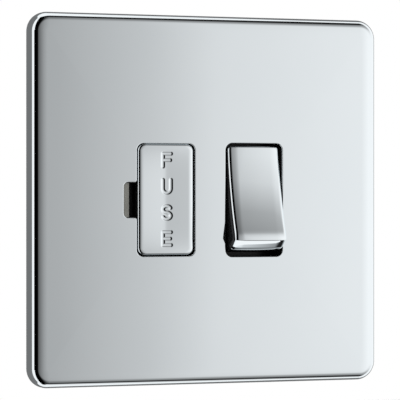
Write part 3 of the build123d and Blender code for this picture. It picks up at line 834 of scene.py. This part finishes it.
@dataclass
class RockerCap:
    """The chrome shell over the rocker, tilted as the rocker rests."""

    centre_x: float = 12.8
    wall: float = 0.9
    outside: CapSkin = CapSkin()
    hidden: CapEnd = CapEnd(11.5, 0.2, (12.4, 3.6))

    def inside(self) -> CapSkin:
        """The inner skin: the outer one drawn in by the wall, with plain ends."""
        outer, end = self.outside, self.hidden
        return replace(
            outer,
            top=end,
            bottom=end,
            lowest=outer.lowest - self.wall,
            rim=(outer.rim[0] - self.wall, outer.rim[1]),
            half_width=outer.half_width - self.wall,
            flank_r=end.edge_r,
            corner_r=end.edge_r,
        )

    def shell(self, name: str, slot: Slot, *spans: slice) -> None:
        """Close spans of rows of the two skins into one piece of shell, riding on the rocker.

        Args:
            name: The piece's name.
            slot: Its material slot.
            *spans: The spans of rows that belong to the piece.
        """
        pivot = np.array((self.centre_x, PIVOT_Y, 0.0))
        outer, inner = (pivot + half.grid() @ rocker_axes() for half in (self.outside, self.inside()))
        skin = Skin()
        for rows in spans:
            over, under = outer[rows], inner[rows]
            skin.add(over)
            skin.add(under)
            for side in (np.s_[0], np.s_[-1], np.s_[:, 0], np.s_[:, -1]):
                skin.add(np.stack((over[side], under[side])))
        settle(skin.piece(name), Body.ROCKER, slot, "rocker_cap")

    def build(self) -> None:
        """Make the plated face of the cap and its bare flanks."""
        left, right = self.outside.folds()
        self.shell("rocker_cap_mirror", Slot.CHROME, slice(left, right + 1))
        self.shell("rocker_cap_flanks", Slot.MOULDING, slice(0, left + 1), slice(right, None))


@dataclass
class Legend:
    """The word FUSE down the cover, as strokes of one width."""

    letter: Pair = (2.15, 3.3)
    stroke: float = 0.75
    slope: float = 0.4
    pitch: float = 6.7
    centre_x: float = 0.295
    bar: float = 0.8
    hook: Pair = (25.0, 270.0)
    arc_steps: int = 20

    def strokes(self) -> Array:
        """Centre lines of all the strokes, read downwards.

        F and E are straight bars, U ends in a half circle, and S is two opposed arcs, each about
        two thirds of an ellipse.

        Returns:
            Segments (start, end) about the cover's middle, n by 2 by 2.
        """
        half_w, half_h = np.array(self.letter) / 2
        post, middle = ((-1, -1), (-1, 1)), ((-1, 0), (self.bar, 0))
        top, foot = ((-1, 1), (1, 1)), ((-1, -1), (1, -1))
        bars = np.array((post, top, middle, foot)) * (half_w, half_h)
        bowl = circle(np.linspace(np.pi, 2 * np.pi, self.arc_steps + 1)) * half_w + (0.0, half_w - half_h)
        cup = np.concatenate((bars[1, :1], bowl, bars[1, 1:]))
        turn = np.radians(np.linspace(*self.hook, self.arc_steps + 1))
        crook = circle(turn) * (half_w, half_h / 2) + (0.0, half_h / 2)
        snake = np.concatenate((crook, -crook[::-1]))
        letters = (bars[:3], [cup], [snake], bars)
        drops = self.pitch * (1.5 - np.arange(4))
        lines = [line + (self.centre_x, drop) for shapes, drop in zip(letters, drops) for line in shapes]
        return np.concatenate([np.stack((line[:-1], line[1:]), axis=1) for line in lines])

    def depth(self, points: Array) -> Array:
        """How deep the strokes cut at each point, from 0 to 1.

        The distance to the nearest stroke decides: full depth inside half the stroke's width,
        falling smoothly to nothing over the slope.

        Args:
            points: Points (x, z) about the cover's middle, n by 2.

        Returns:
            The share of the full depth at each point.
        """
        strokes = self.strokes()
        start, run = strokes[:, 0], strokes[:, 1] - strokes[:, 0]
        away = points[:, None, :] - start
        share = (away * run).sum(axis=-1) / np.maximum((run**2).sum(axis=1), TINY)
        nearest = np.linalg.norm(away - np.clip(share, 0.0, 1.0)[..., None] * run, axis=-1).min(axis=1)
        rise = np.clip((self.stroke / 2 + self.slope / 2 - nearest) / self.slope, 0.0, 1.0)
        return rise * rise * (3 - 2 * rise)


@dataclass
class FuseCover:
    """The chrome face of the fuse carrier, faintly dished, with its word cut in."""

    centre: Pair = (-11.525, 0.15)
    half: Pair = (7.5, 14.25)
    front: float = -4.2
    rear: float = -2.6
    corner_r: float = 1.9
    arcs: Arcs = ((7.2, 4.0, 5), (1.0, 34.0, 8), (0.45, 90.0, 12))
    hollow: float = 0.1
    hollow_ease: float = 0.08
    cut: float = 0.12
    legend_half: Pair = (2.0, 12.6)
    fine: float = 0.075
    coarse_steps: int = 10
    crease: float = 50.0

    def flat(self) -> tuple[Pair, float]:
        """Half sizes and corner radius of the face inside the rolled edge."""
        reach = float(rolled_edge(self.arcs)[-1, 0])
        return (self.half[0] - reach, self.half[1] - reach), self.corner_r - reach

    def ruler(self, reach: float, middle: float, half: float) -> Array:
        """Marks along one axis of the face, close together over the word.

        Args:
            reach: They run from -reach to reach.
            middle: The word's middle.
            half: The word's half size.

        Returns:
            The marks in order.
        """
        low, high = middle - half, middle + half
        fine = np.linspace(low, high, round((high - low) / self.fine) + 1)
        before = np.linspace(-reach, low, self.coarse_steps, endpoint=False)
        return np.concatenate((before, fine, np.linspace(high, reach, self.coarse_steps)[1:]))

    def face(self, legend: Legend) -> Array:
        """The flat of the face with the word cut in, inside the rolled edge.

        Marks across are drawn in near the ends, where the half width is the outline's
        reach - r + sqrt(r^2 - s^2). The depth is a shallow trough, 1 - sqrt(u^2 + w^2) across and
        fading by 1 - v^4 along, plus the word's cut.

        Args:
            legend: The word.

        Returns:
            The grid of points.
        """
        flat, round_r = self.flat()
        across = self.ruler(flat[0], legend.centre_x, self.legend_half[0])
        up = self.ruler(flat[1], 0.0, self.legend_half[1])
        spill = np.clip(np.abs(up) - flat[1] + round_r, 0.0, round_r)
        narrow = (flat[0] - round_r + np.sqrt(round_r**2 - spill**2)) / flat[0]
        x, z = np.broadcast_arrays(across[None, :] * narrow[:, None], up[:, None])
        trough = math.hypot(1.0, self.hollow_ease) - np.hypot(x / flat[0], self.hollow_ease)
        dip = self.hollow * trough * (1 - (z / flat[1]) ** 4)
        cut = self.cut * legend.depth(np.stack((x.ravel(), z.ravel()), -1)).reshape(x.shape)
        return np.stack((self.centre[0] + x, self.front + dip + cut, self.centre[1] + z), axis=-1)

    def build(self) -> None:
        """Join the face, its rolled edge, the side wall and the back, riding on the carrier."""
        face = self.face(Legend())
        loop = np.concatenate((face[0, :-1], face[:-1, -1], face[-1, :0:-1], face[:0:-1, 0]))
        path = loop[:, ::2]
        normal = outward(path - self.centre, *self.flat())
        profile = rolled_edge(self.arcs)
        rows = [stand(path + normal * out, self.front + drop) for out, drop in profile]
        rows += [stand(path + normal * profile[-1, 0], self.rear), stand(path, self.rear)]
        back = np.array(face)
        back[..., 1] = self.rear
        skin = Skin()
        skin.add(face)
        skin.add(np.stack(rows), closed=True)
        skin.add(back)
        cover = skin.piece("fuse_cover_mirror", self.crease)
        settle(cover, Body.CARRIER, Slot.CHROME, "fuse_cover")


@dataclass
class WellDetails:
    """Moulded details in the front housing: the notch's ramp, painted lighter grey as a painted sheen, and
    ribs in the rocker's well.
    """

    ramp_from: Pair = (-22.78, -3.9)
    ramp_to: Pair = (-21.2, -3.3)
    ramp_foot: Pair = (-3.08, -1.9)
    ramp_half: float = 4.38
    rib_x: Pair = (4.9, 20.4)
    rib_y: Pair = (3.4, 4.1)
    rib_z: Pair = (13.15, 14.64)

    def ramp(self) -> None:
        """The screwdriver ramp: a wedge on the slope of the recess, painted lighter grey as a sheen of
        light on the black moulding.
        """
        (left, right), (high, low) = zip(self.ramp_from, self.ramp_to)
        section = ((left, high), (right, low), (right, self.ramp_foot[1]), (left, self.ramp_foot[0]))
        wedge = Skin()
        wedge.bar(np.array(section), -self.ramp_half, self.ramp_half)
        made = settle(wedge.piece("notch_ramp"), Body.HOUSING, Slot.MOULDING)
        # Painted sheen: a lighter grey colour in place of light catching the ramp
        made.data.materials[0] = RAMP_PAINTED_SHEEN.material()

    def ribs(self) -> None:
        """A rib across each end of the rocker's well, behind the rocker's swing."""
        (left, right), (front, rear) = self.rib_x, self.rib_y
        section = np.array(((left, front), (right, front), (right, rear), (left, rear)))
        both = Skin()
        both.bar(section, *self.rib_z)
        both.bar(section, -self.rib_z[1], -self.rib_z[0])
        settle(both.piece("rocker_well_ribs"), Body.HOUSING, Slot.MOULDING)

    def build(self) -> None:
        """Make the ramp and the ribs."""
        self.ramp()
        self.ribs()


@dataclass
class PlungerSprings:
    """Round-wire coils behind the two plungers, riding on the rocker."""

    poles: tuple[tuple[str, float], ...] = (("live", 9.45), ("neutral", 15.85))
    foot: float = -1.2
    head: float = 2.6
    coil_r: float = 1.1
    wire_r: float = 0.2
    turns: float = 4.5
    closed_rise: float = 0.42
    travel: float = 1.0
    turn_steps: int = 28
    wire_steps: int = 12
    crease: float = 60.0

    def coil(self) -> Array:
        """A coil about the pole's own axis, with one closed turn at each end.

        The wire's middle runs round at (r cos p, r sin p, h), where h rises slowly in the end turns
        and evenly between them, and a circle of the wire's radius is set on it across the run. The
        two ends are drawn to a point.

        Returns:
            Points (across, along, out), stations by wire steps by three.
        """
        turn = np.linspace(0.0, self.turns, round(self.turns * self.turn_steps) + 1)
        low, high = self.foot + self.wire_r, self.head - self.wire_r
        marks = (low, low + self.closed_rise, high - self.closed_rise, high)
        rise = np.interp(turn, (0.0, 1.0, self.turns - 1.0, self.turns), marks)
        wire = np.full_like(turn, self.wire_r)
        turn, rise, wire = (np.pad(row, 1, mode="edge")[:, None] for row in (turn, rise, wire))
        wire[[0, -1]] = 0.0
        round_wire = np.linspace(0.0, 2 * np.pi, self.wire_steps, endpoint=False)[None, :]
        reach = self.coil_r + wire * np.cos(round_wire)
        bearing = 2 * np.pi * turn
        rows = (reach * np.cos(bearing), reach * np.sin(bearing), rise + wire * np.sin(round_wire))
        return np.stack(rows, axis=-1)

    def build(self) -> None:
        """Stand a coil in each plunger's bore, riding on the rocker."""
        axes = rocker_axes()
        coil = self.coil() @ axes
        for pole, x in self.poles:
            pivot = np.array((x, PIVOT_Y, 0.0))
            skin = Skin()
            skin.add(pivot + coil, closed=True)
            spring = skin.piece(f"{pole}_coil", self.crease)
            settle(spring, Body.ROCKER, Slot.SPRING, f"{pole}_spring")
            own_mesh(spring)


@dataclass
class Carcass:
    """The CAD pieces that keep their own shape, dressed by the record's slots."""

    replaced: tuple[str, ...] = ("front_plate", "rocker_cap", "fuse_cover", "live_spring", "neutral_spring")

    def build(self) -> None:
        """Give each carried-over piece the finish of its slot."""
        for row in frame["record"]["subparts"]:
            node, slot = row["node"], Slot(row["material_slot"])
            if node in self.replaced:
                continue
            mesh = frame["nodes"][node].data
            mesh.materials.clear()
            mesh.materials.append(dress(slot))
            log.info("%s: %s", node, FINISHES[slot].name)


@dataclass(frozen=True)
class StudioCard:
    """A glowing curved card that only mirrors see, part of a sphere about the object.

    Its light is a display value by azimuth times a share of linear light by elevation.
    """

    name: str
    azimuth: Pair
    elevation: Pair
    across: Stops
    up: Stops = ((-90.0, 1.0), (90.0, 1.0))
    radius_m: float = 1.6
    points: tuple[int, int] = (73, 49)

    def build(self) -> None:
        """Make the card, a patch between two azimuths and two elevations.

        Azimuth is measured from the plate's front towards +X. A point is radius times
        (sin az cos el, -cos az cos el, sin el).
        """
        az = np.radians(np.linspace(*self.azimuth, self.points[0]))[None, :]
        el = np.radians(np.linspace(*self.elevation, self.points[1]))[:, None]
        rows = (np.sin(az) * np.cos(el), -np.cos(az) * np.cos(el), np.sin(el))
        skin = Skin()
        skin.add(np.stack(np.broadcast_arrays(*rows), axis=-1) * self.radius_m / MM)
        card = skin.piece(self.name, SMOOTH)
        for rays in ("camera", "diffuse", "shadow", "transmission"):
            setattr(card, f"visible_{rays}", False)
        card.data.materials.append(self.light())

    def light(self) -> Material:
        """The card's glow, on Object coordinates.

        Returns:
            An emission that varies with azimuth and with height off the horizon.
        """
        desk = NodeDesk(bpy.data.materials.new(self.name + "_light"))
        desk.tree.nodes.remove(desk.shader)
        place = desk.add("ShaderNodeTexCoord")
        level = desk.add("ShaderNodeVectorMath", {0: (place, "Object")}, operation="NORMALIZE")
        parts = desk.add("ShaderNodeSeparateXYZ", {0: (level, "Vector")})
        front = desk.add("ShaderNodeMath", {0: (parts, "Y"), 1: -1.0}, operation="MULTIPLY")
        azimuth = desk.add("ShaderNodeMath", {0: (parts, "X"), 1: (front, 0)}, operation="ARCTAN2")
        height = desk.add("ShaderNodeMath", {0: (parts, "Z")}, operation="ARCSINE")
        shade = desk.fade(azimuth, tuple((angle, linear(value)) for angle, value in self.across))
        fall = desk.fade(height, self.up)
        light = desk.add("ShaderNodeMath", {0: (shade, "Color"), 1: (fall, "Color")}, operation="MULTIPLY")
        glow = desk.add("ShaderNodeEmission", {"Color": WHITE, "Strength": (light, 0)})
        desk.feed(desk.tree.nodes["Material Output"], "Surface", (glow, 0))
        return desk.owner


@dataclass(frozen=True)
class SoftLamp:
    """A square lamp that faces the object and doesn't show in mirrors."""

    name: str
    spot_m: Colour
    energy_w: float
    size_m: float

    def build(self) -> None:
        """Hang the lamp at its spot, turned to the frame's origin."""
        data = bpy.data.lights.new(self.name, "AREA")
        data.energy, data.size = self.energy_w, self.size_m
        lamp = add_object(self.name, data)
        x, y, z = self.spot_m
        lamp.location = self.spot_m
        lamp.rotation_euler = (math.atan2(math.hypot(x, y), z), 0.0, math.atan2(x, -y))
        lamp.visible_glossy = False


# A card round the camera, dark at its left and white at its right, a narrow dark one, and one behind
CARDS = (
    StudioCard(
        "front_card", (-42.0, 75.0), (-80.0, 67.0),
        (
            (-42.0, 3.0), (-8.0, 2.0), (-1.5, 30.0), (5.1, 112.0), (10.5, 160.0), (14.8, 179.0),
            (18.0, 204.0), (20.3, 227.0), (25.0, 240.0), (34.0, 255.0), (75.0, 255.0),
        ),
        (
            (-80.0, 1.0), (-71.0, 0.82), (-66.0, 0.42), (-62.0, 0.02), (-55.0, 0.0), (-48.0, 0.22),
            (-34.0, 0.46), (-22.0, 0.85), (-12.0, 0.97), (0.0, 1.0), (9.0, 0.98), (14.5, 0.95),
            (22.4, 0.81), (31.3, 0.475), (37.2, 0.37), (44.0, 0.28), (51.0, 0.03), (67.0, 0.0),
        ),
    ),
    StudioCard("side_card", (-48.0, -42.0), (-9.0, 9.0), ((-180.0, 3.0), (180.0, 3.0))),
    StudioCard("rear_card", (121.0, 285.0), (-64.0, 64.0), ((-180.0, 117.0), (180.0, 117.0))),
)

LAMPS = (
    SoftLamp("key_lamp", (-0.7, -1.0, 0.9), 7.0, 0.7),
    SoftLamp("fill_lamp", (0.9, -0.8, 0.4), 4.0, 0.8),
    SoftLamp("rear_lamp", (0.3, 1.0, 0.8), 7.0, 0.8),
)


@dataclass
class Studio:
    """Floor, mirror cards, lamps, white background and camera."""

    floor_z_m: float = -0.1
    floor_half_m: float = 0.5
    floor_points: int = 5
    floor_tones: tuple[Colour, Colour] = ((0.82,) * 3, (0.85,) * 3)
    floor_cloud: Colour = (6.0,) * 3
    soft_light: float = 0.6
    yaw: float = 19.99
    distance_m: float = 0.6
    near_m: float = 0.05
    lens_mm: float = 209.66
    aim_px: Pair = (208.27, 200.0)
    frame_px: float = 400.0
    sensor_mm: float = 36.0

    def floor(self) -> None:
        """A pale floor well under the plate: a flat grid of points."""
        span = np.linspace(-self.floor_half_m, self.floor_half_m, self.floor_points) / MM
        x, y = np.meshgrid(span, span)
        skin = Skin()
        skin.add(np.stack((x, y, np.full_like(x, self.floor_z_m / MM)), axis=-1))
        floor = skin.piece("floor", SMOOTH)
        desk = NodeDesk(bpy.data.materials.new("pale_floor"))
        desk.blend(desk.grain(self.floor_cloud, detail=2.0), *self.floor_tones)
        desk.feed(desk.shader, "Roughness", 0.8)
        floor.data.materials.append(desk.owner)
        floor.visible_glossy = False

    def background(self) -> None:
        """White to the camera, to mirrors and through glass, and a softer light elsewhere."""
        desk = NodeDesk(bpy.data.worlds.new("white_studio"), "Background")
        desk.feed(desk.shader, "Color", WHITE)
        desk.feed(desk.shader, "Strength", self.soft_light)
        white = desk.add("ShaderNodeBackground", {"Color": WHITE})
        path = desk.add("ShaderNodeLightPath")
        rays = {0: (path, "Is Camera Ray"), 1: (path, "Is Glossy Ray")}
        first = desk.add("ShaderNodeMath", rays, operation="MAXIMUM")
        rays = {0: (first, 0), 1: (path, "Is Transmission Ray")}
        both = desk.add("ShaderNodeMath", rays, operation="MAXIMUM")
        pick = desk.add("ShaderNodeMixShader", {"Fac": (both, 0), 1: (desk.shader, 0), 2: (white, 0)})
        desk.feed(desk.tree.nodes["World Output"], "Surface", (pick, 0))
        bpy.context.scene.world = desk.owner

    def camera(self) -> None:
        """A long lens at the plate's left, level with its middle."""
        data = bpy.data.cameras.new("camera")
        data.lens = self.lens_mm
        data.sensor_width = self.sensor_mm
        data.clip_start = self.near_m
        camera = add_object("camera", data)
        yaw = math.radians(self.yaw)
        front = FrontPlate.front * MM
        camera.location = (-self.distance_m * math.sin(yaw), front - self.distance_m * math.cos(yaw), 0.0)
        focal_px = self.lens_mm / self.sensor_mm * self.frame_px
        off = (np.array(self.aim_px) - self.frame_px / 2) / focal_px
        camera.rotation_euler = (math.pi / 2 + math.atan(off[1]), 0.0, -yaw + math.atan(off[0]))
        bpy.context.scene.camera = camera

    def build(self) -> None:
        """Set up the whole studio."""
        self.floor()
        for item in (*CARDS, *LAMPS):
            item.build()
        self.background()
        self.camera()
        bpy.context.scene.view_settings.view_transform = "Standard"
        log.info("studio set up")


def main() -> None:
    """Build the pieces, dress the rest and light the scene."""
    logging.basicConfig(level=logging.INFO, format="%(name)s: %(message)s")
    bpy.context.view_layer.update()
    FrontPlate().build()
    RockerCap().build()
    FuseCover().build()
    WellDetails().build()
    PlungerSprings().build()
    Carcass().build()
    Studio().build()


if __name__ == "__main__":
    main()
